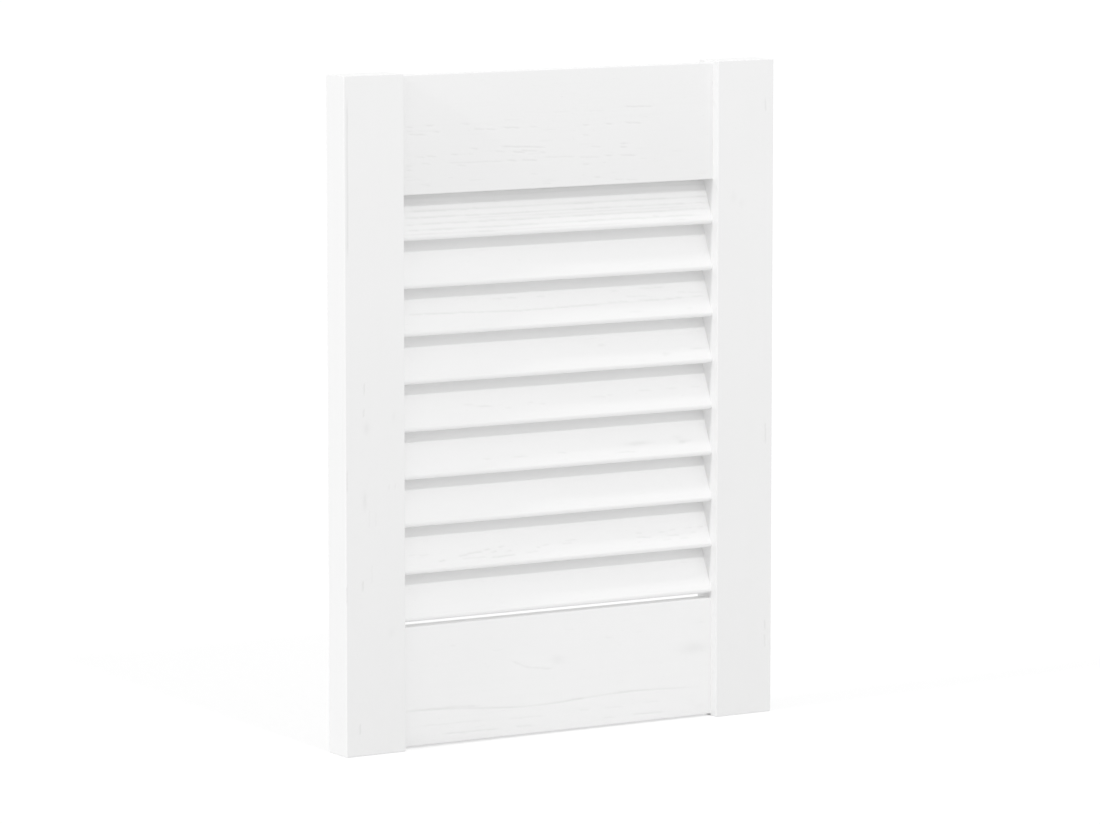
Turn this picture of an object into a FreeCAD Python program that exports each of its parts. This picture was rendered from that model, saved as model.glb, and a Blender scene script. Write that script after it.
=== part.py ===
import FreeCAD, Part
import math
import os

# Louvred cupboard door leaf in painted pine, in millimetres.
# X runs from the hinge edge to the closing edge, Y from front to back, Z up.
# The origin is the middle of the hinge edge's face.

# Leaf
leaf_width = 294.0
leaf_height = 395.0
leaf_thickness = 21.0

# Stiles, the two uprights
stile_width = 39.4
stile_outer_arris_radius = 0.6
stile_inner_arris_radius = 0.35
stile_end_chamfer = 0.25

# Rails, thinner than the stiles and set in from their ends
top_rail_height = 69.4
bottom_rail_height = 70.8
rail_thickness = 9.4
rail_set_in = 1.2
rail_edge_radius = 0.5

# Stub tenons on the rails and their mortises in the stiles
tenon_length = 14.0
tenon_thickness = 5.0
tenon_shoulder = 9.0
mortise_clearance = 0.1
mortise_end_clearance = 0.5

# Slats, round-edged, with the front lip low and the top edge towards the back
slat_count = 9
slat_thickness = 4.2
slat_tilt_degrees = 24.5
slat_lip_recess = 5.7
slat_back_recess = 0.3
space_over_first_lip = 26.7
space_under_last_lip = 2.8

# Slanted slots in the stiles that house the slat ends
slot_depth = 8.0
slot_clearance = 0.12
slot_end_clearance = 0.4

# Places worked out from the sizes above
front = -leaf_thickness / 2
back = leaf_thickness / 2
bottom = -leaf_height / 2
top = leaf_height / 2
clear_width = leaf_width - 2 * stile_width
opening_bottom = bottom + rail_set_in + bottom_rail_height
opening_top = top - rail_set_in - top_rail_height
first_lip_height = opening_top - space_over_first_lip
last_lip_height = opening_bottom + space_under_last_lip
slat_pitch = (first_lip_height - last_lip_height) / (slat_count - 1)
slat_radius = slat_thickness / 2
slat_tilt = math.radians(slat_tilt_degrees)
slat_lean = leaf_thickness - slat_lip_recess - slat_back_recess - slat_thickness
slat_flat_width = slat_lean / math.sin(slat_tilt)

# Directions across a slat: up its width, and out of its back face
up_the_slat = FreeCAD.Vector(0, math.sin(slat_tilt), math.cos(slat_tilt))
out_of_slat_back = FreeCAD.Vector(0, math.cos(slat_tilt), -math.sin(slat_tilt))


def rounded_rectangle(corner, across, along, radii):
    """Face of a rectangle from one corner, with a radius at each corner in turn."""
    corners = [corner, corner + across, corner + across + along, corner + along]
    edges = []
    ends = []
    for index, (point, radius) in enumerate(zip(corners, radii)):
        to_previous = (corners[index - 1] - point).normalize()
        to_next = (corners[(index + 1) % 4] - point).normalize()
        centre = point + (to_previous + to_next) * radius
        middle = centre - (to_previous + to_next).normalize() * radius
        arc_start = point + to_previous * radius
        arc_end = point + to_next * radius
        edges.append(Part.Arc(arc_start, middle, arc_end).toShape())
        ends.append((arc_start, arc_end))
    for index in range(4):
        edges.append(Part.LineSegment(ends[index][1], ends[(index + 1) % 4][0]).toShape())
    return Part.Face(Part.Wire(Part.__sortEdges__(edges)))


def slat_section(lip_height, x, growth):
    """Tilted, round-ended face of a slat at one place along X, grown all round by a clearance."""
    radius = slat_radius + growth
    low_centre = FreeCAD.Vector(x, front + slat_lip_recess + slat_radius, lip_height + slat_radius)
    high_centre = low_centre + up_the_slat * slat_flat_width
    aside = out_of_slat_back * radius
    beyond = up_the_slat * radius
    edges = [
        Part.LineSegment(low_centre - aside, high_centre - aside).toShape(),
        Part.Arc(high_centre - aside, high_centre + beyond, high_centre + aside).toShape(),
        Part.LineSegment(high_centre + aside, low_centre + aside).toShape(),
        Part.Arc(low_centre + aside, low_centre - beyond, low_centre - aside).toShape(),
    ]
    return Part.Face(Part.Wire(edges))


def lip_height_of(number):
    """Height of the lowest point of a slat, counted from 1 at the top."""
    return first_lip_height - (number - 1) * slat_pitch


def slat(number):
    """One slat, with both ends reaching into the slots of the stiles."""
    reach = slot_depth - slot_end_clearance
    section = slat_section(lip_height_of(number), stile_width - reach, 0)
    return section.extrude(FreeCAD.Vector(clear_width + 2 * reach, 0, 0))


def rail(low, height):
    """One rail with eased long edges and a stub tenon at each end."""
    corner = FreeCAD.Vector(stile_width, -rail_thickness / 2, low)
    across = FreeCAD.Vector(0, rail_thickness, 0)
    along = FreeCAD.Vector(0, 0, height)
    board = rounded_rectangle(corner, across, along, [rail_edge_radius] * 4)
    body = board.extrude(FreeCAD.Vector(clear_width, 0, 0))
    tenons = Part.makeBox(
        clear_width + 2 * tenon_length,
        tenon_thickness,
        height - 2 * tenon_shoulder,
        FreeCAD.Vector(stile_width - tenon_length, -tenon_thickness / 2, low + tenon_shoulder),
    )
    return body.fuse(tenons).removeSplitter()


def mortise(inner_x, inward, low, height):
    """Pocket in a stile for the tenon of the rail that starts at this height."""
    depth = tenon_length + mortise_end_clearance
    thickness = tenon_thickness + 2 * mortise_clearance
    corner = FreeCAD.Vector(inner_x, -thickness / 2, low + tenon_shoulder - mortise_clearance)
    across = FreeCAD.Vector(0, thickness, 0)
    along = FreeCAD.Vector(0, 0, height - 2 * tenon_shoulder + 2 * mortise_clearance)
    outline = Part.makePolygon([corner, corner + across, corner + across + along, corner + along, corner])
    return Part.Face(outline).extrude(FreeCAD.Vector(-inward * depth, 0, 0))


def slot(inner_x, inward, number):
    """Slanted pocket in a stile for one slat end."""
    section = slat_section(lip_height_of(number), inner_x, slot_clearance)
    return section.extrude(FreeCAD.Vector(-inward * slot_depth, 0, 0))


def stile(outer_x, inward):
    """One upright: eased arrises, two mortises and a slot for each slat on its inner edge."""
    corner = FreeCAD.Vector(outer_x, front, bottom)
    across = FreeCAD.Vector(inward * stile_width, 0, 0)
    along = FreeCAD.Vector(0, leaf_thickness, 0)
    outer, inner = stile_outer_arris_radius, stile_inner_arris_radius
    section = rounded_rectangle(corner, across, along, [outer, inner, inner, outer])
    upright = section.extrude(FreeCAD.Vector(0, 0, leaf_height))
    end_edges = [edge for edge in upright.Edges if edge.BoundBox.ZLength < stile_end_chamfer]
    upright = upright.makeChamfer(stile_end_chamfer, end_edges)
    inner_x = outer_x + inward * stile_width
    pockets = [slot(inner_x, inward, number) for number in range(1, slat_count + 1)]
    pockets.append(mortise(inner_x, inward, bottom + rail_set_in, bottom_rail_height))
    pockets.append(mortise(inner_x, inward, opening_top, top_rail_height))
    return upright.cut(pockets)


pieces = {
    "left_stile": stile(0, 1),
    "right_stile": stile(leaf_width, -1),
    "top_rail": rail(opening_top, top_rail_height),
    "bottom_rail": rail(bottom + rail_set_in, bottom_rail_height),
}
for number in range(1, slat_count + 1):
    pieces[f"slat_{number}"] = slat(number)

os.makedirs("parts", exist_ok=True)
for name, shape in pieces.items():
    shape.exportStep(f"parts/{name}.step")
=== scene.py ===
"""Looks of a small louvred cupboard door leaf in white painted pine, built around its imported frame.

Lengths are metres, as in the frame, unless a name ends in _mm. X runs from the hinge edge to the closing
edge, Y from front to back and Z up. A board has coordinates of its own: along its grain, across its face
and through its thickness, all from its middle, with its front face on the low side of through.
"""

import logging
import math
from dataclasses import dataclass, field
from enum import Enum

import bmesh
import bpy
import numpy as np
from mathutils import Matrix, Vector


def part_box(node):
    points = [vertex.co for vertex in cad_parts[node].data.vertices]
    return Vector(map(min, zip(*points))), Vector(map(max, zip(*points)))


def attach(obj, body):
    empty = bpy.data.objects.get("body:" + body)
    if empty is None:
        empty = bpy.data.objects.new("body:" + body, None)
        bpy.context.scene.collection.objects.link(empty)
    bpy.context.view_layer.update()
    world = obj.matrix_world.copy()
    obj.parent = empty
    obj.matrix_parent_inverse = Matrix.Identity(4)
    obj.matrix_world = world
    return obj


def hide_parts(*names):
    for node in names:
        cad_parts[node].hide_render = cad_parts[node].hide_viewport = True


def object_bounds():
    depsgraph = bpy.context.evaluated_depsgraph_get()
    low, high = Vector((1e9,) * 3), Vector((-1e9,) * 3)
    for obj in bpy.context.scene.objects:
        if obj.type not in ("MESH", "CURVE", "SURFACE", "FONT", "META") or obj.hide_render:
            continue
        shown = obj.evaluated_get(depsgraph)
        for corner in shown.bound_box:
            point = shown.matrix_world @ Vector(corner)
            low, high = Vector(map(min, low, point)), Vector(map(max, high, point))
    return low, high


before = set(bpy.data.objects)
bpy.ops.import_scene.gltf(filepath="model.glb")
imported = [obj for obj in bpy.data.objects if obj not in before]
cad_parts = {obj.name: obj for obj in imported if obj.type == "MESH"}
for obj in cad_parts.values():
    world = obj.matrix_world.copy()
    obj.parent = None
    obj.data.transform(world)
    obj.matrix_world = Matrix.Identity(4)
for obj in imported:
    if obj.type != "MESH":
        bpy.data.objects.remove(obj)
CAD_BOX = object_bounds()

LOG = logging.getLogger("louvred_leaf")
MM = 0.001
BODY = "root"
Array = np.ndarray

# Point attributes that the paint reads: how far the grain has sunk, and the share of painted shade (deep in
# the louvres, on the rails' edges beside the slats) and of greying towards some ends and edges
SUNK = "sunk"
SHADE_AND_GREY = "painted_shade_and_greying"

# Depth at which a mark is as grey as it gets, and the distance from its face over which it fades
FULL_SUNK_MM = 0.12
MARK_REACH_MM = 0.5

PORE_SWAY_MM = 0.1
SCATTER_SEED_STEP = 100
SPAN_SLACK = 1e-9
MERGE_DISTANCE = 1e-7
CREASE_DEGREES = 34.0


class Face(Enum):
    """The side of a board that a mark lies on, as the sign of its place through the board."""

    FRONT = -1
    BACK = 1


class Lie(Enum):
    """The direction of a board's grain, as the axis that it follows."""

    LEVEL = 0
    UPRIGHT = 2


class Hand(Enum):
    """Which stile it is, as the sign of the way along X from it to the leaf's middle."""

    LEFT = 1
    RIGHT = -1


class SlatSide(Enum):
    """Where the slats lie from a rail, as the sign of the way along Z."""

    ABOVE = 1
    BELOW = -1


def linear(code: str, alpha: float = 1.0) -> tuple[float, float, float, float]:
    """Turn an sRGB hex colour into a linear one.

    Args:
        code: Six hex digits after a hash sign.
        alpha: Opacity of the colour.

    Returns:
        Linear red, green and blue with the opacity.
    """
    steps = np.array([int(code[place:place + 2], 16) for place in (1, 3, 5)]) / 255
    bent = np.where(steps <= 0.04045, steps / 12.92, ((steps + 0.055) / 1.055) ** 2.4)
    return (*bent.tolist(), alpha)


def add_node(tree: bpy.types.NodeTree, kind: str, inputs: dict | None = None, **settings) -> bpy.types.Node:
    """Add one shader node with its settings, values and links.

    Args:
        tree: Node tree that gets the node.
        kind: Blender's name of the node type.
        inputs: Value, or output socket to link, for each input by its name or number.
        settings: Properties of the node.

    Returns:
        The new node.
    """
    node = tree.nodes.new(kind)
    for name, value in settings.items():
        setattr(node, name, value)
    for name, value in (inputs or {}).items():
        if isinstance(value, bpy.types.NodeSocket):
            tree.links.new(value, node.inputs[name])
        else:
            node.inputs[name].default_value = value
    return node


def empty_tree(owner: bpy.types.Material | bpy.types.World) -> bpy.types.NodeTree:
    """Turn on the nodes of a material or world, and clear them."""
    owner.use_nodes = True
    owner.node_tree.nodes.clear()
    return owner.node_tree


@dataclass(frozen=True)
class BrushedPaint:
    """Satin white paint brushed on planed pine.

    The paint is a slightly glossy film of little thickness. It gives the eye an even white with a soft sheen,
    faint marks of the bristles along the grain, and a greyer line wherever the grain beneath has opened and
    drawn the paint in. It also carries painted shade, a slightly greyer white deep in the louvres and on the
    rails' edges beside the slats, and a slight greying towards some ends and edges.
    """

    name: str
    lie: Lie
    colour: str = "#f3f3f3"
    grain_shade_and_grey_colour: str = "#c9c9c8"
    roughness: float = 0.44
    ior: float = 1.5
    open_grain_shade: float = 0.24
    shade_and_grey_strength: float = 0.15
    mottle_shade: float = 0.05
    pore_shade: float = 0.10
    bristle_length_mm: float = 70.0
    bristle_spacing_mm: float = 1.1
    bristle_height_mm: float = 0.012
    pore_length_mm: float = 7.0
    pore_width_mm: float = 0.7
    pore_depth_mm: float = 0.03
    pore_threshold: float = 0.70
    pore_softness: float = 0.06
    mottle_length_mm: float = 52.0
    mottle_width_mm: float = 26.0
    noise_detail: float = 2.0
    smoothest: float = -0.05
    roughest: float = 0.07

    def _stretched(self, tree: bpy.types.NodeTree, along_mm: float, across_mm: float) -> bpy.types.Node:
        """Noise with its marks drawn out along the grain.

        Args:
            tree: Node tree of the material.
            along_mm: Length of a mark along the grain.
            across_mm: Width of a mark across the grain.

        Returns:
            The noise node.
        """
        sizes = [across_mm * MM] * 3
        sizes[self.lie.value] = along_mm * MM
        place = add_node(tree, "ShaderNodeTexCoord").outputs["Object"]
        scale = [1 / size for size in sizes]
        turned = add_node(tree, "ShaderNodeMapping", {"Vector": place, "Scale": scale}).outputs["Vector"]
        return add_node(tree, "ShaderNodeTexNoise", {
            "Vector": turned, "Scale": 1.0, "Detail": self.noise_detail,
        })

    def material(self) -> bpy.types.Material:
        """Make the paint's material.

        Returns:
            A new material, with its grain along this paint's lie.
        """
        made = bpy.data.materials.new(self.name)
        tree = empty_tree(made)
        bristles = self._stretched(tree, self.bristle_length_mm, self.bristle_spacing_mm).outputs["Fac"]
        pore_noise = self._stretched(tree, self.pore_length_mm, self.pore_width_mm).outputs["Fac"]
        mottle = self._stretched(tree, self.mottle_length_mm, self.mottle_width_mm).outputs["Fac"]
        sunk = add_node(tree, "ShaderNodeAttribute", attribute_name=SUNK).outputs["Fac"]
        # This attribute carries painted shade deep in the louvres and on the rails' edges beside the slats,
        # and a greying towards some ends and edges.
        greying = add_node(tree, "ShaderNodeAttribute", attribute_name=SHADE_AND_GREY).outputs["Fac"]
        pores = add_node(tree, "ShaderNodeMapRange", {
            "Value": pore_noise, "From Min": self.pore_threshold,
            "From Max": self.pore_threshold + self.pore_softness,
        }, interpolation_type="SMOOTHSTEP").outputs["Result"]
        shade = 0.0
        for share, strength in ((sunk, self.open_grain_shade), (greying, self.shade_and_grey_strength),
                                (pores, self.pore_shade), (mottle, self.mottle_shade)):
            shade = add_node(tree, "ShaderNodeMath", {0: share, 1: strength, 2: shade},
                             operation="MULTIPLY_ADD").outputs[0]
        colour = add_node(tree, "ShaderNodeMix", {
            0: shade, 6: linear(self.colour), 7: linear(self.grain_shade_and_grey_colour),
        }, data_type="RGBA").outputs[2]
        gloss = add_node(tree, "ShaderNodeMapRange", {
            "Value": bristles, "To Min": self.roughness + self.smoothest,
            "To Max": self.roughness + self.roughest,
        }).outputs["Result"]
        brushed = add_node(tree, "ShaderNodeBump", {
            "Height": bristles, "Distance": self.bristle_height_mm * MM, "Strength": 1.0,
        }).outputs["Normal"]
        pitted = add_node(tree, "ShaderNodeBump", {
            "Height": pores, "Distance": self.pore_depth_mm * MM, "Strength": 1.0, "Normal": brushed,
        }, invert=True).outputs["Normal"]
        surface = add_node(tree, "ShaderNodeBsdfPrincipled", {
            "Base Color": colour, "Roughness": gloss, "Normal": pitted, "IOR": self.ior,
        }).outputs["BSDF"]
        add_node(tree, "ShaderNodeOutputMaterial", {"Surface": surface})
        return made


@dataclass(frozen=True)
class Streak:
    """One opened grain line in a board's face, in millimetres along and across from the board's middle."""

    start_mm: tuple[float, float]
    end_mm: tuple[float, float]
    sag_mm: float = 0.0
    width_mm: float = 0.75
    depth_mm: float = 0.09
    sway_mm: float = 0.25
    waves: float = 2.0
    phase: float = 0.0
    breaks: float = 0.35
    face: Face = Face.FRONT
    bell_share: float = 0.6
    fade_rate: float = 2.5
    pulses: float = 4.3
    pulse_turn: float = 3.0
    pulse_lead: float = 1.0

    def depth(self, along: Array, across: Array) -> Array:
        """Depth of the groove.

        With u going from 0 to 1 between the ends, the groove's line is the straight line between them, plus
        a sag that grows as 4u(1 - u), plus a sine sway. The depth falls off from that line as a bell curve,
        fades to nothing at both ends, and rises and falls along the line where the grain breaks up.

        Args:
            along: Places along the board in millimetres.
            across: Places across the board in millimetres.

        Returns:
            Depth in millimetres at each place.
        """
        span = self.end_mm[0] - self.start_mm[0]
        u = (along - self.start_mm[0]) / span
        arch = np.clip(4 * u * (1 - u), 0, None)
        sway = self.sway_mm * np.sin(2 * np.pi * self.waves * u + self.phase)
        line = self.start_mm[1] + (self.end_mm[1] - self.start_mm[1]) * u + self.sag_mm * arch + sway
        bell = np.exp(-((across - line) / (self.bell_share * self.width_mm)) ** 2)
        fade = np.clip(arch * self.fade_rate, 0, 1)
        turn = 2 * np.pi * self.pulses * u + self.pulse_turn * self.phase + self.pulse_lead
        pulse = 1 - self.breaks * (1 + np.sin(turn)) / 2
        return self.depth_mm * bell * fade * pulse


@dataclass(frozen=True)
class Knot:
    """A small knot under the paint, in millimetres along and across from the board's middle."""

    place_mm: tuple[float, float]
    half_length_mm: float = 4.0
    half_width_mm: float = 2.0
    depth_mm: float = 0.06
    face: Face = Face.FRONT
    push_share: float = 0.5
    push_reach: float = 2.0

    def reach(self, along: Array, across: Array) -> Array:
        """Distance from the knot's middle as a share of its size, on an ellipse drawn out along the grain."""
        lengthwise = (along - self.place_mm[0]) / self.half_length_mm
        crosswise = (across - self.place_mm[1]) / self.half_width_mm
        return np.hypot(lengthwise, crosswise)

    def depth(self, along: Array, across: Array) -> Array:
        """Depth of the dimple: a bell curve of the reach, in millimetres."""
        return self.depth_mm * np.exp(-self.reach(along, across) ** 2)

    def push(self, along: Array, across: Array) -> Array:
        """How far the grain lines step aside: the distance across times a wider bell curve of the reach."""
        bell = np.exp(-((self.reach(along, across) / self.push_reach) ** 2))
        return self.push_share * (across - self.place_mm[1]) * bell


@dataclass(frozen=True)
class Scatter:
    """Short opened pores strewn over a part of a board's face, in millimetres from the board's middle."""

    count: int
    along_mm: tuple[float, float]
    across_mm: tuple[float, float]
    length_mm: tuple[float, float]
    depth_mm: tuple[float, float]
    width_mm: float = 0.6
    sway_mm: float = 0.05
    face: Face = Face.FRONT

    def streaks(self, seed: int) -> list[Streak]:
        """Draw the pores.

        Args:
            seed: Seed of the random draws.

        Returns:
            One short level streak for each pore.
        """
        draws = np.random.default_rng(seed)
        middles = draws.uniform(*self.along_mm, self.count)
        heights = draws.uniform(*self.across_mm, self.count)
        lengths = draws.uniform(*self.length_mm, self.count)
        depths = draws.uniform(*self.depth_mm, self.count)
        return [
            Streak((middle - length / 2, height), (middle + length / 2, height), depth_mm=depth,
                   width_mm=self.width_mm, sway_mm=self.sway_mm, face=self.face)
            for middle, height, length, depth in zip(middles, heights, lengths, depths)
        ]


@dataclass(frozen=True)
class Timber:
    """How one board's growth rings, knots and opened grain stand out through the paint."""

    seed: int
    ring_mm: float = 3.2
    ring_depth_mm: float = 0.015
    pith_mm: tuple[float, float] = (30.0, 40.0)
    slope: float = 0.006
    sway_mm: float = 0.7
    sway_length_mm: float = 170.0
    sharpness: float = 5.0
    knots: tuple[Knot, ...] = ()
    streaks: tuple[Streak, ...] = ()
    scatters: tuple[Scatter, ...] = ()
    grey_ends: tuple[float, float] = (0.0, 0.0)
    grey_edges: tuple[float, float] = (0.0, 0.0)
    sways: tuple[tuple[float, float], ...] = ((1.0, 1.0), (0.45, 2.3), (0.2, 5.1))
    deep_sway: tuple[float, float] = (0.4, 1.4)
    crowding: tuple[float, float] = (0.2, 0.43)
    ring_weight: tuple[float, float, float] = (0.6, 0.4, 12.9898)
    ring_fading: tuple[float, float, float, float] = (0.7, 0.3, 1.7, 2.1)

    def greying(self, along: Array, across: Array) -> Array:
        """How much greyer the paint is, towards some ends and edges.

        It goes evenly from the low end's share to the high end's along the board, and evenly from the low
        edge's share to the high edge's across it, and the two are added.

        Args:
            along: Places along the board, from -1 to 1.
            across: Places across the board, from -1 to 1.

        Returns:
            Share of the greyest tone at each place.
        """
        low_end, high_end = self.grey_ends
        low_edge, high_edge = self.grey_edges
        lengthwise = low_end + (high_end - low_end) * (1 + along) / 2
        return lengthwise + low_edge + (high_edge - low_edge) * (1 + across) / 2

    def _rings(self, along: Array, across: Array, through: Array) -> Array:
        """Depth of the growth rings in millimetres.

        The distance from the pith, bent by slow sways along the board and pushed aside by knots, is counted
        in ring widths, which crowd and widen as a sine. Each whole count is a groove: a cosine of the count,
        sharpened by a power, times a weight that belongs to that ring and comes and goes along the board.

        Args:
            along: Places along the board in millimetres.
            across: Places across the board in millimetres.
            through: Places through the board in millimetres.

        Returns:
            Depth in millimetres at each place.
        """
        draws = np.random.default_rng(self.seed).uniform(0, 2 * np.pi, len(self.sways) + 3)
        *sway_phases, deep_phase, crowd_phase, weight_phase = draws
        turn = 2 * np.pi * along / self.sway_length_mm
        sway = sum(
            share * np.sin(rate * turn + phase) for (share, rate), phase in zip(self.sways, sway_phases)
        )
        pushed = sum((knot.push(along, across) for knot in self.knots), np.zeros_like(along))
        side = across - self.pith_mm[0] - self.slope * along - self.sway_mm * sway - pushed
        share, rate = self.deep_sway
        deep = through - self.pith_mm[1] + share * self.sway_mm * np.sin(rate * turn + deep_phase)
        count = np.hypot(side, deep) / self.ring_mm
        share, rate = self.crowding
        count = count + share * np.sin(2 * np.pi * rate * count + crowd_phase)
        ring = np.round(count)
        groove = ((1 + np.cos(2 * np.pi * count)) / 2) ** self.sharpness
        mean, share, rate = self.ring_weight
        weight = mean + share * np.sin(rate * ring + weight_phase)
        mean, share, rate, lag = self.ring_fading
        fading = mean + share * np.sin(rate * turn + lag * ring)
        return self.ring_depth_mm * groove * weight * fading

    def depth(self, along: Array, across: Array, through: Array, half_thickness: float) -> Array:
        """Depth of everything that lies under the plane of the board's faces.

        It is the sum of the rings, the knots and the streaks. Each knot and streak is on its own face only:
        its depth fades with the distance from that face as a bell curve.

        Args:
            along: Places along the board in millimetres.
            across: Places across the board in millimetres.
            through: Places through the board in millimetres.
            half_thickness: Half of the board's thickness in millimetres.

        Returns:
            Depth in millimetres at each place.
        """
        total = self._rings(along, across, through)
        marks = [*self.knots, *self.streaks]
        for number, scatter in enumerate(self.scatters):
            marks.extend(scatter.streaks(self.seed + SCATTER_SEED_STEP * (number + 1)))
        for mark in marks:
            away = half_thickness - through * mark.face.value
            total = total + mark.depth(along, across) * np.exp(-((away / MARK_REACH_MM) ** 2))
        return total


@dataclass(frozen=True)
class Axes:
    """Where a board lies: its middle and the unit directions along, across and through it."""

    middle: Array
    along: Array
    across: Array
    through: Array

    def place(self, along: Array, across: Array, through: Array) -> Array:
        """Turn board coordinates into the frame's: the middle plus each distance times its direction."""
        return (self.middle + along[..., None] * self.along + across[..., None] * self.across
                + through[..., None] * self.through)

    def flipped(self) -> bool:
        """Tell whether the three directions are left-handed, so that faces have to be turned round."""
        return float(np.dot(np.cross(self.along, self.across), self.through)) < 0


X_AXIS, Y_AXIS, Z_AXIS = np.eye(3)


def outline(half_width: float, half_thickness: float, low_radius: float, high_radius: float,
            step: float, arc_steps: int) -> tuple[Array, Array, Array, Array]:
    """Walk once round a rounded rectangle.

    Each straight side is evenly stepped, and each corner is a quarter circle: its centre plus the radius
    times the cosine and sine of the angle, with the angle's cosine and sine as the outward direction.

    Args:
        half_width: Half of the width across.
        half_thickness: Half of the thickness through.
        low_radius: Radius of the two corners on the low side across.
        high_radius: Radius of the two corners on the high side across.
        step: Longest step on a straight side.
        arc_steps: Steps in each quarter circle.

    Returns:
        Places across and through, and the outward direction's parts across and through.
    """
    low, high = -half_width + low_radius, half_width - high_radius
    low_side, high_side = half_thickness - low_radius, half_thickness - high_radius
    corners = ((high, -high_side, high_radius), (high, high_side, high_radius),
               (low, low_side, low_radius), (low, -low_side, low_radius))
    sides = (((low, -half_thickness), (high, -half_thickness)),
             ((half_width, -high_side), (half_width, high_side)),
             ((high, half_thickness), (low, half_thickness)),
             ((-half_width, low_side), (-half_width, -low_side)))
    runs = []
    for number, ((start, stop), (centre_across, centre_through, radius)) in enumerate(zip(sides, corners)):
        span = math.dist(start, stop)
        steps = math.ceil(span / step - SPAN_SLACK) if span > MERGE_DISTANCE else 0
        share = np.arange(steps) / max(steps, 1)
        facing = (number - 1) * np.pi / 2
        ones = np.ones(steps)
        side_across = start[0] + (stop[0] - start[0]) * share
        side_through = start[1] + (stop[1] - start[1]) * share
        runs.append(np.stack([side_across, side_through, np.cos(facing) * ones, np.sin(facing) * ones]))
        angle = facing + np.pi / 2 * np.arange(arc_steps) / arc_steps
        runs.append(np.stack([centre_across + radius * np.cos(angle), centre_through + radius * np.sin(angle),
                              np.cos(angle), np.sin(angle)]))
    return tuple(np.concatenate(runs, axis=1))


def closed_mesh(name: str, points: Array, flip: bool, shares: dict[str, Array] | None = None,
                ends: Array | None = None) -> bpy.types.Mesh:
    """Put one or more closed grids into a mesh.

    Args:
        name: Name of the mesh.
        points: Places, by grid, row, column and coordinate. Columns close on themselves, and the first and
            last rows are folded flat, so that merging doubles closes the grid.
        flip: Whether to turn the faces round.
        shares: Values of each named point attribute, by grid, row and column.
        ends: For each step from row to row, whether its faces show end grain.

    Returns:
        The mesh, with its doubled points merged.
    """
    grids, rows, columns, _ = points.shape
    index = np.arange(grids * rows * columns).reshape(grids, rows, columns)
    beside = np.roll(index, -1, axis=2)
    corners = [index[:, :-1], beside[:, :-1], beside[:, 1:], index[:, 1:]]
    faces = np.stack(corners[::-1] if flip else corners, axis=-1).reshape(-1, 4)
    mesh = bpy.data.meshes.new(name)
    mesh.vertices.add(index.size)
    mesh.vertices.foreach_set("co", points.astype(np.float32).ravel())
    mesh.loops.add(faces.size)
    mesh.loops.foreach_set("vertex_index", faces.astype(np.int32).ravel())
    mesh.polygons.add(len(faces))
    mesh.polygons.foreach_set("loop_start", np.arange(len(faces), dtype=np.int32) * 4)
    if ends is not None:
        slots = np.broadcast_to(ends[None, :, None], (grids, rows - 1, columns))
        mesh.polygons.foreach_set("material_index", slots.astype(np.int32).ravel())
    mesh.update(calc_edges=True)
    for label, share in (shares or {}).items():
        held = mesh.attributes.new(label, "FLOAT", "POINT")
        held.data.foreach_set("value", share.astype(np.float32).ravel())
    working = bmesh.new()
    working.from_mesh(mesh)
    bmesh.ops.remove_doubles(working, verts=working.verts, dist=MERGE_DISTANCE)
    working.to_mesh(mesh)
    working.free()
    return mesh


def smooth(mesh: bpy.types.Mesh) -> None:
    """Shade a mesh smooth, with creases where its faces turn by more than the crease angle."""
    mesh.polygons.foreach_set("use_smooth", np.ones(len(mesh.polygons), dtype=bool))
    mesh.set_sharp_from_angle(angle=math.radians(CREASE_DEGREES))


def show(name: str, mesh: bpy.types.Mesh) -> bpy.types.Object:
    """Put a mesh into the scene as an object at the origin."""
    made = bpy.data.objects.new(name, mesh)
    bpy.context.scene.collection.objects.link(made)
    return made


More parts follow.
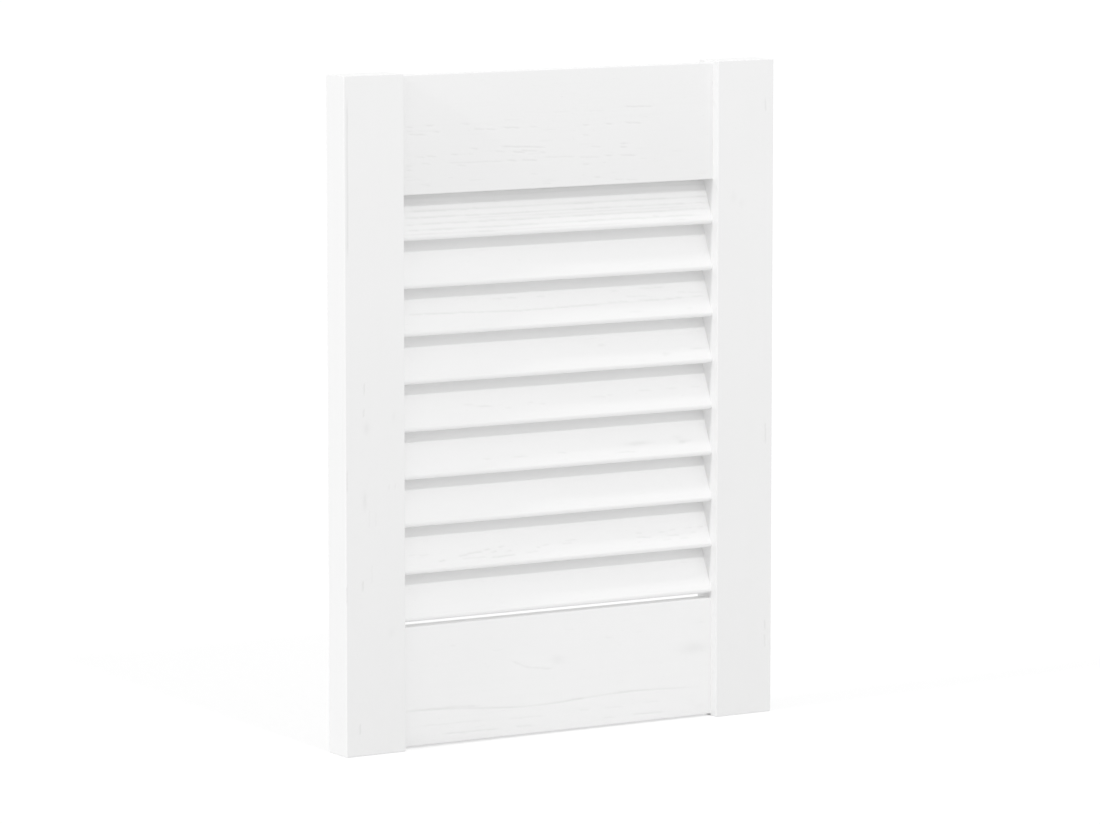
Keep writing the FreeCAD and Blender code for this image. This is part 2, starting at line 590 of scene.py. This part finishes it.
@dataclass
class Board:
    """A length of pine with a rounded-rectangle section, as one closed grid that its grain is sunk into."""

    node: str
    axes: Axes
    length: float
    width: float
    thickness: float
    low_radius: float
    high_radius: float
    timber: Timber
    finishes: tuple[bpy.types.Material, ...]
    step_along: float = 1.5 * MM
    step_across: float = 0.5 * MM
    arc_steps: int = 5
    end_chamfer: float = 0.0
    piece: bpy.types.Object | None = field(default=None, init=False)

    def end_rows(self) -> list[tuple[float, float, float]]:
        """Rows of the high end, from the long faces to the fold onto the end's middle line.

        Returns:
            Place along, half width and half thickness of each row.
        """
        return [(self.length / 2, self.width / 2 - self.thickness / 2, 0.0)]

    def stations(self) -> tuple[Array, ...]:
        """Rows of the grid from end to end: the low end, the long faces between the chamfers, the high end.

        Returns:
            Place along, half width and half thickness that the section is held within, and the end that the
            row faces: -1 or 1 on an end, 0 on the board's long faces.
        """
        half = self.length / 2 - self.end_chamfer
        steps = math.ceil(self.length / self.step_along)
        wide, thick = self.width / 2, self.thickness / 2
        faces = [(place, wide, thick, 0.0) for place in np.linspace(-half, half, steps + 1)]
        high_end = np.array([(*row, 1.0) for row in self.end_rows()])
        low_end = high_end[::-1] * (-1, 1, 1, -1)
        return tuple(np.concatenate([low_end, faces, high_end]).T)

    def sunk_share(self, along: Array, across: Array) -> Array:
        """Share of the timber's relief that shows at each place of the board."""
        return np.ones_like(along)

    def painted_shade_and_grey(self, along: Array, across: Array, through: Array) -> Array:
        """Painted shade and greying at each place: the timber's own greying, which some kinds of board add
        painted shade to.

        Args:
            along: Places along the board.
            across: Places across the board.
            through: Places through the board.

        Returns:
            Share of the greyest tone at each place.
        """
        return self.timber.greying(2 * along / self.length, 2 * across / self.width)

    def surface(self) -> tuple[Array, dict[str, Array], Array]:
        """Work out the board's surface.

        The section's outline is carried along the board, held within each station's half width and half
        thickness, and every point is then drawn inwards by the timber's depth there: against the outline's
        outward direction on the long faces, and along the board on its ends.

        Returns:
            Places by grid, row, column and coordinate, the sunk share and the share of painted shade and
            greying of each, and the end grain of each step.
        """
        wide, thick = self.width / 2, self.thickness / 2
        across, through, out_across, out_through = outline(
            wide, thick, self.low_radius, self.high_radius, self.step_across, self.arc_steps
        )
        stations, widths, thicknesses, facing = (row[:, None] for row in self.stations())
        a = np.clip(across[None, :], -widths, widths)
        b = np.clip(through[None, :], -thicknesses, thicknesses)
        s = np.broadcast_to(stations, a.shape)
        depth_mm = self.timber.depth(s / MM, a / MM, b / MM, thick / MM) * self.sunk_share(s, a)
        depth = depth_mm * MM
        long_face = facing == 0
        points = self.axes.place(
            s - facing * depth,
            a - np.where(long_face, out_across[None, :] * depth, 0),
            b - np.where(long_face, out_through[None, :] * depth, 0),
        )
        sunk = np.clip(depth_mm / FULL_SUNK_MM, 0, 1)
        # Painted shade deep in the louvres and on the rails' edges beside the slats, and greying towards some
        # ends and edges.
        greying = self.painted_shade_and_grey(s, a, b)
        ends = np.maximum(np.abs(facing[:-1, 0]), np.abs(facing[1:, 0]))
        return points[None], {SUNK: sunk[None], SHADE_AND_GREY: greying[None]}, ends

    def build(self) -> bpy.types.Object:
        """Make the board's mesh and put it into the scene.

        Returns:
            The new object.
        """
        points, shares, ends = self.surface()
        mesh = closed_mesh(f"painted_{self.node}", points, self.axes.flipped(), shares, ends)
        self.piece = show(f"painted_{self.node}", mesh)
        self.shape()
        smooth(self.piece.data)
        return self.piece

    def shape(self) -> None:
        """Cut what a plain board doesn't need cut."""

    def dress(self) -> None:
        """Give the board its finishes and its place in the frame."""
        for finish in self.finishes:
            self.piece.data.materials.append(finish)
        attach(self.piece, BODY)
        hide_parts(self.node)


@dataclass
class Rail(Board):
    """A rail between the stiles, with a stub tenon at each end."""

    tenon_length: float = field(kw_only=True)
    slat_side: SlatSide = field(kw_only=True)
    tenon_thickness: float = 5.0 * MM
    tenon_shoulder: float = 9.0 * MM
    slat_side_shade: float = 2.5
    step_along: float = 2.0 * MM
    step_across: float = 0.36 * MM

    def end_rows(self) -> list[tuple[float, float, float]]:
        """Rows of a tenon: its root at the shoulder, its end, and the end's fold."""
        wide = self.width / 2 - self.tenon_shoulder
        thick = self.tenon_thickness / 2
        root, tip = self.length / 2, self.length / 2 + self.tenon_length
        return [(root, wide, thick), (tip, wide, thick), (tip, wide - thick, 0.0)]

    def sunk_share(self, along: Array, across: Array) -> Array:
        """Keep the relief off the tenons."""
        return (np.abs(along) < self.length / 2 + MERGE_DISTANCE).astype(float)

    def painted_shade_and_grey(self, along: Array, across: Array, through: Array) -> Array:
        """Painted shade on the edge beside the slats, which shade it, added to the timber's greying.

        The painted shade grows over the edge's rounding, by the square of the share of the radius that is
        passed.
        """
        # Painted shade on the rail's edge beside the slats.
        passed = np.clip(1 + (self.slat_side.value * across - self.width / 2) / self.high_radius, 0, 1)
        return super().painted_shade_and_grey(along, across, through) + self.slat_side_shade * passed ** 2


@dataclass
class Slat(Board):
    """A slat, with painted shade on its faces deep in the louvre, where the neighbouring slats shade them."""

    shade_from: float = 8.5 * MM
    shade_to: float = 12.0 * MM
    deep_shade: float = 1.0
    step_along: float = 2.0 * MM
    step_across: float = 0.38 * MM
    arc_steps: int = 7

    def painted_shade_and_grey(self, along: Array, across: Array, through: Array) -> Array:
        """Painted shade deep in the louvre, where the neighbouring slats shade the faces: it grows evenly on
        the way in.

        That way runs up the front face and down the back one. It is the place across times the place
        through as a share of half the thickness, with its sign turned.
        """
        # Painted shade: greyer deep between the slats, where they shade each other.
        inwards = -across * through / (self.thickness / 2)
        deep = np.clip((inwards - self.shade_from) / (self.shade_to - self.shade_from), 0, 1)
        return super().painted_shade_and_grey(along, across, through) + self.deep_shade * deep


@dataclass
class Stile(Board):
    """An upright with chamfered ends, two mortises and a slanted slot for each slat end on its inner edge."""

    end_chamfer: float = 0.25 * MM
    end_steps: int = 8
    outer_grey: float = 0.25
    edge_fade: float = 1.0 * MM
    pocket_sections: tuple["Pocket", ...] = ()

    def end_rows(self) -> list[tuple[float, float, float]]:
        """Rows of an end: insets from the chamfer down to the end's middle line."""
        wide, thick = self.width / 2, self.thickness / 2
        insets = np.linspace(self.end_chamfer, thick, self.end_steps + 1)
        return [(self.length / 2, wide - inset, thick - inset) for inset in insets]

    def sunk_share(self, along: Array, across: Array) -> Array:
        """Keep the relief off the inner edge, where the rails and slats meet it."""
        return np.clip((self.width / 2 - across) / self.edge_fade, 0, 1)

    def painted_shade_and_grey(self, along: Array, across: Array, through: Array) -> Array:
        """Scale the greying down to a quarter on the outer edge, reaching full strength one edge fade
        inwards.
        """
        inwards = (self.width / 2 + across) / self.edge_fade
        return super().painted_shade_and_grey(along, across, through) * np.clip(inwards, self.outer_grey, 1)

    def shape(self) -> None:
        """Cut the mortises and the slots."""
        tools = [show("pocket", pocket.mesh()) for pocket in self.pocket_sections]
        for tool in tools:
            cut = self.piece.modifiers.new("pocket", "BOOLEAN")
            cut.operation = "DIFFERENCE"
            cut.solver = "EXACT"
            cut.object = tool
        seen = self.piece.evaluated_get(bpy.context.evaluated_depsgraph_get())
        carved = bpy.data.meshes.new_from_object(seen)
        self.piece.modifiers.clear()
        plain = self.piece.data
        self.piece.data = carved
        bpy.data.meshes.remove(plain)
        carved.name = self.piece.name
        for tool in tools:
            bpy.data.meshes.remove(tool.data)


@dataclass(frozen=True)
class Pocket:
    """One or more like pockets in a stile: a rounded-rectangle section carried into its inner edge."""

    axes: Axes
    length: float
    width: float
    thickness: float
    radius: float
    copies: int = 1
    pitch: float = 0.0
    round_steps: int = 6

    def mesh(self) -> bpy.types.Mesh:
        """Make the pockets' mesh: the outline carried along the axis, folded flat at both ends, once a copy.

        Returns:
            The closed mesh of all copies, each one pitch below the one before.
        """
        arc_steps = self.round_steps if self.radius else 1
        across, through, _, _ = outline(
            self.width / 2, self.thickness / 2, self.radius, self.radius, self.width, arc_steps
        )
        half = self.length / 2
        spine = (self.width - self.thickness) / 2
        stations = np.array([-half, -half, half, half])[:, None]
        folded = np.array([True, False, False, True])[:, None]
        a = np.where(folded, np.clip(across, -spine, spine), across)
        b = np.where(folded, 0.0, through)
        points = self.axes.place(np.broadcast_to(stations, a.shape), a, b)
        drops = -self.pitch * np.arange(self.copies)[:, None, None, None] * Z_AXIS
        return closed_mesh("pocket", points[None] + drops, self.axes.flipped())


@dataclass
class Leaf:
    """The whole door leaf: two stiles, two rails and the slats between them."""

    slat_count: int = 9
    slat_thickness: float = 4.2 * MM
    slot_clearance: float = 0.015 * MM
    slot_depth: float = 8.0 * MM
    mortise_clearance: float = 0.1 * MM
    mortise_end_clearance: float = 0.5 * MM
    outer_arris: float = 0.6 * MM
    inner_arris: float = 0.35 * MM
    rail_edge: float = 0.5 * MM
    pocket_overrun: float = 1.0 * MM
    boards: list[Board] = field(default_factory=list, init=False)

    def __post_init__(self) -> None:
        """Make the paints, one for each lie of the grain and one for sawn ends."""
        self.upright_paint = BrushedPaint("satin_paint_on_upright_pine", Lie.UPRIGHT).material()
        self.level_paint = BrushedPaint("satin_paint_on_level_pine", Lie.LEVEL).material()
        self.end_paint = BrushedPaint(
            "satin_paint_on_sawn_end_grain", Lie.UPRIGHT, roughness=0.6, bristle_spacing_mm=0.8,
            pore_width_mm=0.8,
        ).material()

    def slat_axes(self, node: str) -> tuple[Axes, float, float]:
        """Find a slat's place from its box.

        The box of a round-edged slat is its flat width, turned by the tilt, plus one thickness each way. So
        the flat width's parts are the box's depth and height less the thickness.

        Args:
            node: Name of the slat's node.

        Returns:
            The slat's axes, its length and its whole width.
        """
        low, high = np.array(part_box(node))
        _, lean, rise = high - low - self.slat_thickness
        flat = math.hypot(lean, rise)
        up = np.array([0, lean, rise]) / flat
        back = np.array([0, rise, -lean]) / flat
        return Axes((low + high) / 2, X_AXIS, up, back), float(high[0] - low[0]), flat + self.slat_thickness

    def add_slats(self, timbers: dict[int, Timber]) -> None:
        """Build the slats, counted from 1 at the top.

        Args:
            timbers: Timber of each slat by its number.
        """
        for number in range(1, self.slat_count + 1):
            axes, length, width = self.slat_axes(f"slat_{number}")
            radius = self.slat_thickness / 2
            self.boards.append(Slat(
                f"slat_{number}", axes, length, width, self.slat_thickness, radius, radius, timbers[number],
                (self.level_paint, self.end_paint),
            ))

    def add_rail(self, node: str, slat_side: SlatSide, timber: Timber) -> None:
        """Build one rail between the stiles' inner edges.

        Args:
            node: Name of the rail's node.
            slat_side: Where the slats lie from the rail.
            timber: Timber of the rail.
        """
        low, high = np.array(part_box(node))
        inner_low, inner_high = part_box("left_stile")[1][0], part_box("right_stile")[0][0]
        self.boards.append(Rail(
            node, Axes((low + high) / 2, X_AXIS, Z_AXIS, Y_AXIS), inner_high - inner_low, high[2] - low[2],
            high[1] - low[1], self.rail_edge, self.rail_edge, timber, (self.level_paint, self.end_paint),
            tenon_length=inner_low - low[0], slat_side=slat_side,
        ))

    def pockets(self, inner: float, hand: Hand) -> tuple[Pocket, ...]:
        """Pockets in one stile's inner edge: a slot for each slat and a mortise for each rail.

        Args:
            inner: X of the stile's inner edge.
            hand: Which stile it is.

        Returns:
            The slots as one row of copies, and the two mortises.
        """
        axes, _, width = self.slat_axes("slat_1")
        pitch = float(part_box("slat_1")[0][2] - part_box("slat_2")[0][2])
        grown = 2 * self.slot_clearance
        reach = self.slot_depth + self.pocket_overrun
        shift = hand.value * (self.pocket_overrun - reach / 2)
        middle = np.array([inner + shift, axes.middle[1], axes.middle[2]])
        thickness = self.slat_thickness + grown
        made = [Pocket(Axes(middle, X_AXIS, axes.across, axes.through), reach, width + grown, thickness,
                       thickness / 2, self.slat_count, pitch)]
        for node in ("top_rail", "bottom_rail"):
            low, high = np.array(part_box(node))
            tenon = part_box("left_stile")[1][0] - low[0]
            reach = tenon + self.mortise_end_clearance + self.pocket_overrun
            shift = hand.value * (self.pocket_overrun - reach / 2)
            middle = np.array([inner + shift, 0, (low[2] + high[2]) / 2])
            made.append(Pocket(
                Axes(middle, X_AXIS, Z_AXIS, Y_AXIS), reach,
                high[2] - low[2] - 2 * Rail.tenon_shoulder + 2 * self.mortise_clearance,
                Rail.tenon_thickness + 2 * self.mortise_clearance, 0.0,
            ))
        return tuple(made)

    def add_stile(self, node: str, hand: Hand, timber: Timber) -> None:
        """Build one stile.

        Args:
            node: Name of the stile's node.
            hand: Which stile it is.
            timber: Timber of the stile.
        """
        low, high = np.array(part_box(node))
        inner = float(high[0] if hand is Hand.LEFT else low[0])
        width, thickness, length = high - low
        self.boards.append(Stile(
            node, Axes((low + high) / 2, Z_AXIS, hand.value * X_AXIS, Y_AXIS), length, width, thickness,
            self.outer_arris, self.inner_arris, timber, (self.upright_paint, self.end_paint),
            pocket_sections=self.pockets(inner, hand),
        ))

    def build(self) -> None:
        """Build and dress every board that has been added."""
        for board in self.boards:
            piece = board.build()
            board.dress()
            LOG.info("%s: %d faces", piece.name, len(piece.data.polygons))


@dataclass(frozen=True)
class Lamp:
    """A distant lamp.

    Its strength is the brightness that a white card facing it gets, its azimuth is measured to the left of
    straight in front, and its elevation from the horizon.
    """

    name: str
    strength: float
    azimuth_degrees: float
    elevation_degrees: float
    width_degrees: float = 4.0

    def hang(self) -> None:
        """Put the lamp into the scene."""
        lamp = bpy.data.lights.new(self.name, "SUN")
        lamp.energy = self.strength * math.pi
        lamp.angle = math.radians(self.width_degrees)
        hung = bpy.data.objects.new(self.name, lamp)
        tilt, turn = 90 - self.elevation_degrees, -self.azimuth_degrees
        hung.rotation_euler = (math.radians(tilt), 0, math.radians(turn))
        bpy.context.scene.collection.objects.link(hung)


@dataclass
class Studio:
    """A pale floor, soft light from the front and the left, and the camera."""

    floor_height: float
    floor_half_width: float = 60.0
    floor_colour: str = "#e6e6e6"
    floor_seen_share: float = 0.45
    floor_lift: float = 0.655
    dome_strength: float = 0.836
    lamps: tuple[Lamp, ...] = (
        Lamp("key", 0.175, 0.0, 45.0),
        Lamp("side", 0.251, 86.0, 31.0),
    )
    camera_place: tuple[float, float, float] = (-1.583, -2.845, 0.419)
    camera_yaw_degrees: float = 31.26
    camera_pitch_degrees: float = 7.28
    lens_mm: float = 186.3
    sensor_mm: float = 36.0

    def add_floor(self) -> None:
        """Lay the floor: a pale matt card that the camera sees just white, with the leaf's soft shadow."""
        half = self.floor_half_width
        corners = np.array([(-half, -half), (half, -half), (half, half), (-half, half)])
        places = np.column_stack([corners, np.full(4, self.floor_height)])
        mesh = bpy.data.meshes.new("floor")
        mesh.from_pydata(places.tolist(), [], [(0, 1, 2, 3)])
        card = bpy.data.materials.new("matt_white_card")
        tree = empty_tree(card)
        seen = add_node(tree, "ShaderNodeLightPath").outputs["Is Camera Ray"]
        lift = add_node(tree, "ShaderNodeMath", {0: seen, 1: self.floor_lift}, operation="MULTIPLY")
        card_colour = linear(self.floor_colour)
        seen_colour = (*(self.floor_seen_share * part for part in card_colour[:3]), 1.0)
        colour = add_node(tree, "ShaderNodeMix", {
            0: seen, 6: card_colour, 7: seen_colour,
        }, data_type="RGBA").outputs[2]
        matt = add_node(tree, "ShaderNodeBsdfDiffuse", {"Color": colour}).outputs["BSDF"]
        glow = add_node(tree, "ShaderNodeEmission", {"Strength": lift.outputs[0]}).outputs["Emission"]
        both = add_node(tree, "ShaderNodeAddShader", {0: matt, 1: glow}).outputs["Shader"]
        add_node(tree, "ShaderNodeOutputMaterial", {"Surface": both})
        mesh.materials.append(card)
        show("floor", mesh)

    def add_dome(self) -> None:
        """Light the leaf from all round, and show white where the camera sees past the floor."""
        world = bpy.data.worlds.new("studio")
        tree = empty_tree(world)
        path = add_node(tree, "ShaderNodeLightPath").outputs
        seen = 0.0
        for ray in ("Is Camera Ray", "Is Glossy Ray", "Is Transmission Ray"):
            seen = add_node(tree, "ShaderNodeMath", {0: path[ray], 1: seen}, operation="MAXIMUM").outputs[0]
        strength = add_node(tree, "ShaderNodeMapRange", {
            "Value": seen, "To Min": self.dome_strength, "To Max": 1.0,
        }).outputs["Result"]
        sky = add_node(tree, "ShaderNodeBackground", {"Color": (1, 1, 1, 1), "Strength": strength})
        add_node(tree, "ShaderNodeOutputWorld", {"Surface": sky.outputs["Background"]})
        bpy.context.scene.world = world

    def add_camera(self) -> None:
        """Set up the camera at the photograph's place and angle."""
        camera = bpy.data.cameras.new("camera")
        camera.lens = self.lens_mm
        camera.sensor_width = self.sensor_mm
        holder = bpy.data.objects.new("camera", camera)
        holder.location = self.camera_place
        holder.rotation_euler = (
            math.radians(90 - self.camera_pitch_degrees), 0, math.radians(-self.camera_yaw_degrees)
        )
        bpy.context.scene.collection.objects.link(holder)
        bpy.context.scene.camera = holder

    def build(self) -> None:
        """Set up the floor, the light and the camera."""
        self.add_floor()
        self.add_dome()
        for lamp in self.lamps:
            lamp.hang()
        self.add_camera()
        bpy.context.scene.view_settings.view_transform = "Standard"


def pores(*places: tuple[float, float, float], depth_mm: float = 0.14, width_mm: float = 0.8,
          fall_mm: float = 0.3) -> tuple[Streak, ...]:
    """Opened pores that lie along the grain.

    Args:
        places: Start and end along the board and height across it, in millimetres, of each pore.
        depth_mm: Depth of each pore.
        width_mm: Width of each pore.
        fall_mm: How much lower each pore ends than it starts.

    Returns:
        One short streak for each pore.
    """
    return tuple(
        Streak((start, height + fall_mm / 2), (end, height - fall_mm / 2), width_mm=width_mm,
               depth_mm=depth_mm, sway_mm=PORE_SWAY_MM)
        for start, end, height in places
    )


def stile_timbers() -> tuple[Timber, Timber]:
    """Timber of the left and the right stile: quiet straight grain with a few pin knots and opened lines.

    Returns:
        The left stile's timber and the right stile's.
    """
    behind = Scatter(26, (-185, 185), (-17, 16), (5, 26), depth_mm=(0.03, 0.10), face=Face.BACK)
    # Both stiles' paint greys towards their bottom ends.
    left = Timber(
        11, ring_mm=4.6, ring_depth_mm=0.010, pith_mm=(-14, 38), grey_ends=(0.95, 0.0),
        knots=(
            Knot((-6, -5.4), 3, 2, 0.08), Knot((-0.7, 12.6), 2.6, 1, 0.05),
            Knot((-48.5, -6.8), 4.8, 1.4, 0.09), Knot((-127, 10.5), 2.4, 1.8, 0.04),
            Knot((62, 4), 4.5, 3, 0.07, Face.BACK), Knot((-88, -7), 3, 2, 0.05, Face.BACK),
        ),
        streaks=(
            Streak((186, -17.5), (90, -17.5), width_mm=0.8, depth_mm=0.17, sway_mm=0.05, breaks=0.1),
            Streak((-29, -18.4), (-43, -18.4), depth_mm=0.12, sway_mm=0.0),
            Streak((-97, -19), (-108, -19), depth_mm=0.12, sway_mm=0.0),
            *pores((21, 13, -7), (5, 1, -7.4), (-95, -101, -8.4), (-178, -185, -10.6),
                   fall_mm=0.0),
            *pores((-53, -64, -3.9), (-56, -64, 0.3), (-85, -97, -2.4), (-39, -42.5, 9.3),
                   (-39, -42.5, 13.4), depth_mm=0.06, fall_mm=0.0),
        ),
        scatters=(behind,),
    )
    right = Timber(
        23, ring_mm=5.2, ring_depth_mm=0.009, pith_mm=(10, 44), grey_ends=(0.95, 0.0),
        knots=(
            Knot((116, 8.4), 3, 2, 0.04), Knot((112.5, 2.7), 2.6, 2, 0.04),
            Knot((-30, 2), 5, 3.2, 0.07, Face.BACK),
        ),
        streaks=pores((174, 166, -14), (-21, -34, -15), (-141, -147, -15.2),
                      (-150, -158, -15.2)),
        scatters=(behind,),
    )
    return left, right


def rail_timbers() -> tuple[Timber, Timber]:
    """Timber of the top and the bottom rail: open pores above, and a long wandering line with a bow below.

    Returns:
        The top rail's timber and the bottom rail's.
    """
    # The top rail's paint greys towards its lower edge, where the rail also gets painted shade beside the
    # slats.
    top = Timber(
        37, ring_mm=3, ring_depth_mm=0.010, pith_mm=(-70, 18), grey_edges=(0.6, -0.1),
        streaks=(
            *pores((-103, -98, 4.5), (-90, -84, 5), (-101, -89, 0), (-84, -80, 1), (-57, -50, 1.5),
                   (-49, -42, 1), (-38, -26, 1.5), (16, 22, 1), (32, 38, 1), (46, 58, 1), (45, 66, 10.5),
                   (-60, -55, -9.5), (-31, -22, -13), (-25, -15, -12.5), (-73, -68, -12.5), (-89, -82, -13),
                   (-36, -29, -17.5), (-25, -14, -18), (42, 48, -11), (42, 48, -13), (32, 37, -17.5),
                   (43, 54, -18), (16, 22, -22), (24, 30, -30), depth_mm=0.12, width_mm=0.7, fall_mm=0.6),
            *pores((-40, -9, -10), depth_mm=0.13, width_mm=0.8, fall_mm=1.6),
            *pores((-103, -98, 2), (-66, -61, 5), (-20, -14, 1.5), (-43, -37, -12), (-14, -9, -13.5),
                   (-96, -91, -13), (-93, -87, -17), (-103, -98, -18), (-103, -98, -20.5), (-69, -63, -19),
                   (-76, -36, -17.5), (-92, -87, -29.5), (-19, -15, -26), (-12, -4, -32), (-10, 12, -17),
                   (17, 22, -5), (23, 29, -12), (14, 29, -18), (36, 40, -27.5), (39, 46, -32),
                   (46, 55, -32.5), depth_mm=0.08, width_mm=0.7, fall_mm=0.5),
        ),
        scatters=(
            Scatter(30, (-104, 104), (-32, 10), (3, 14), depth_mm=(0.02, 0.05)),
            Scatter(40, (-104, 104), (-30, 31), (4, 24), depth_mm=(0.03, 0.10), face=Face.BACK),
        ),
    )
    bottom = Timber(
        41, ring_mm=6, ring_depth_mm=0.007, pith_mm=(60, 24),
        knots=(
            Knot((95.5, 5.6), 9, 3.4, 0.085), Knot((-0.5, 7), 4, 2.8, 0.06),
            Knot((100, -30), 3, 1.6, 0.04), Knot((-38, 9), 7, 4, 0.08, Face.BACK),
        ),
        streaks=(
            Streak((-106, -15.2), (101, -16.8), sag_mm=-1.9, width_mm=0.95, depth_mm=0.12, sway_mm=1.2,
                   waves=1.6, phase=0.52),
            Streak((-107, -14.5), (-52, -15.6), sag_mm=0.6, width_mm=1.2, depth_mm=0.09, sway_mm=0.1),
            Streak((-33, 9.5), (-3, 2.8), sag_mm=-2.2, width_mm=1.1, depth_mm=0.09),
            *pores((8, 18, -17.8), (43, 54, -16.5), (-81, -39, -30.2), (-29, -19, -30.4),
                   (51, 74, -31), depth_mm=0.10),
            *pores((-95, -49, -24.1), (-35, -9, -25.4), (15, 21, -24.8), (31, 45, -25.1),
                   (59, 71, -24.2), (31, 39, -31), (-74, -70, 21.8), (33, 38, 17.2),
                   depth_mm=0.06),
        ),
        scatters=(
            Scatter(10, (-100, 100), (14, 31), (2, 8), depth_mm=(0.02, 0.05)),
            Scatter(34, (-104, 104), (-31, 31), (5, 30), depth_mm=(0.03, 0.10), face=Face.BACK),
        ),
    )
    return top, bottom


def slat_timbers() -> dict[int, Timber]:
    """Timber of each slat, from open straight grain on the first to close quiet grain on the last.

    Returns:
        Timber by the slat's number, counted from 1 at the top.
    """
    behind = Scatter(9, (-104, 104), (-11, 11), (5, 30), depth_mm=(0.03, 0.09), face=Face.BACK)
    quiet = {"ring_mm": 3.6, "ring_depth_mm": 0.008, "scatters": (behind,)}
    first_lines = (
        (-94, -86, 1.9), (-85, -72, 1.6), (-63, -59, 1.5), (-54, -50, 1.9), (14, 29, 1.2), (41, 46, 1.5),
        (54, 79, 1.6), (99, 106, 1.6), (-100, -92, -2.2), (-91, -80, -2.3), (-78, -67, -2.2),
        (-61, -50, -2.4), (-46, -30, -2.5), (-24, -16, -2.2), (12, 28, -2.4), (30, 40, -2.3),
        (49, 62, -2.5), (72, 79, -2.5), (84, 90, -2.3), (98, 104, -2.4), (-101, -97, -6.4),
        (-92, -78, -6.2), (-72, -59, -6.4), (-53, -47, -6.5), (-46, -40, -6), (-32, -8, -6.5),
        (-6, 4, -6.3), (11, 27, -6.6), (28, 47, -6.2), (44, 78, -6.2), (78, 100, -5.8), (100, 107, -6.3),
        (-101, -94, -9.8), (-86, -78, -10), (-77, -71, -10.2), (-56, -45, -10), (-44, -33, -10.2),
        (-27, -12, -9.8), (14, 21, -10), (21, 34, -9.5), (37, 48, -9.5), (47, 62, -10), (66, 70, -9.2),
        (76, 96, -9.8), (-55, -43, -12.8), (78, 90, -12.5),
    )
    first_bands = ((-112, 112, 1.6), (-112, 112, -2.3), (-112, 112, -6.3), (-112, 112, -9.9),
                   (-70, 104, -4.2), (-112, 60, -12.6))
    return {
        1: Timber(
            51, ring_mm=3.9, ring_depth_mm=0.05, pith_mm=(70, 16), slope=-0.003, sway_mm=0.3, sharpness=6,
            streaks=(
                *pores(*first_lines, depth_mm=0.09, width_mm=0.85),
                *pores(*first_bands, depth_mm=0.09, width_mm=0.9),
            ),
            scatters=(behind,),
        ),
        2: Timber(52, pith_mm=(20, 60), **quiet),
        3: Timber(53, pith_mm=(20, 60), **quiet, streaks=(
            Streak((-108, -2.4), (108, -2.4), sag_mm=-1.7, width_mm=0.8, depth_mm=0.07, sway_mm=0.3),
            *pores((-90, -66, -3), (-66, -53, -3.2), depth_mm=0.09, fall_mm=1),
            *pores((-52, -48, -3.9), (-22, -16, -4.3), (0, 9, -3.9), (36, 44, -3), (45, 51, -3),
                   (57, 74, -3), (76, 82, -3.1), (85, 88, -2.8), (95, 105, -2.7), (-32, -25, 3.8),
                   (-12, -4, 3.6), (40, 46, 4), (60, 78, 4.4), depth_mm=0.10),
            *pores((-99, -90, -2.7), (-48, -29, -3.9), (-29, -23, -4.6), (-16, 0, -4.4), (9, 31, -3.9),
                   (49, 66, -0.3), (86, 92, 0.5), (94, 106, -0.2), (51, 60, -10), (90, 95, -9.8),
                   (-42, -34, 3.6), depth_mm=0.07, width_mm=1),
        )),
        4: Timber(54, pith_mm=(-20, 60), **quiet, streaks=pores((93, 104, -6.4), depth_mm=0.10), knots=(
            Knot((33, -0.2), 2.2, 1, 0.09), Knot((76, -8.4), 2.4, 1, 0.10),
        )),
        5: Timber(55, pith_mm=(30, 50), **quiet, streaks=(
            *pores((-54, -43, -3.6), (59, 68, -1.3), depth_mm=0.11, width_mm=0.9, fall_mm=0.6),
            *pores((-62, -55, -1.9), (-35, -31, -5.5), (-19, -14, -3.5), (-11, -6, -4.9), (36, 41, -2.4),
                   (79, 86, -1.2), (95, 103, -1.3), (25, 35, -3), depth_mm=0.07, width_mm=0.9),
        )),
        6: Timber(56, pith_mm=(-30, 50), **quiet, knots=(
            Knot((57.5, -5), 8, 1.3, 0.11), Knot((88, -6.3), 1.9, 0.9, 0.24),
            Knot((92, -6), 2.6, 1, 0.06), Knot((85.5, -3.4), 3, 1.9, 0.05),
        ), streaks=pores((-50, -44, -7), (-30, -19, -7.3), (0, 7, -7), (41, 55, -9.8), depth_mm=0.09)),
        7: Timber(57, pith_mm=(25, 70), **quiet),
        8: Timber(58, pith_mm=(30, 50), slope=0.1, **quiet, streaks=(
            *pores((-80, -76, -9.3), (-67, -60, -7.2), (-61, -50, -6.1), (-49.5, -44, -4.9),
                   (-44, -40, -6.6), (-39, -35.5, -4), (-34, -30, -7), (-46, -28, -9.8),
                   (-13, -10, -6.3), depth_mm=0.16, fall_mm=-0.7),
            *pores((56, 60, -3.2), (56, 61, -5.8), (61, 66, -6.3), (77, 87, -6.5), (101, 105, -2.8),
                   depth_mm=0.12),
            *pores((-101, -95, -4.3), (-92, -86, -4.9), (-58, -48, -9.3), (-65, -57, -9.2),
                   (-22, -12, -8.9), (-10, -5, -5.4), (6, 15, -3.8), (5, 11, -5.6), (56, 59, -9),
                   (73, 77, -4), (80, 84, -3), (75, 80, -9), (91, 96, -2.8), (95, 99, -5.8),
                   (86, 92, -9), depth_mm=0.08, fall_mm=-0.3),
        )),
        9: Timber(59, pith_mm=(-25, 60), **quiet),
    }


def main() -> None:
    """Build the leaf's boards in order, then the studio."""
    logging.basicConfig(level=logging.INFO, format="%(name)s: %(message)s")
    leaf = Leaf()
    left, right = stile_timbers()
    leaf.add_stile("left_stile", Hand.LEFT, left)
    leaf.add_stile("right_stile", Hand.RIGHT, right)
    top, bottom = rail_timbers()
    leaf.add_rail("top_rail", SlatSide.BELOW, top)
    leaf.add_rail("bottom_rail", SlatSide.ABOVE, bottom)
    leaf.add_slats(slat_timbers())
    leaf.build()
    Studio(floor_height=float(CAD_BOX[0][2])).build()


if __name__ == "__main__":
    main()
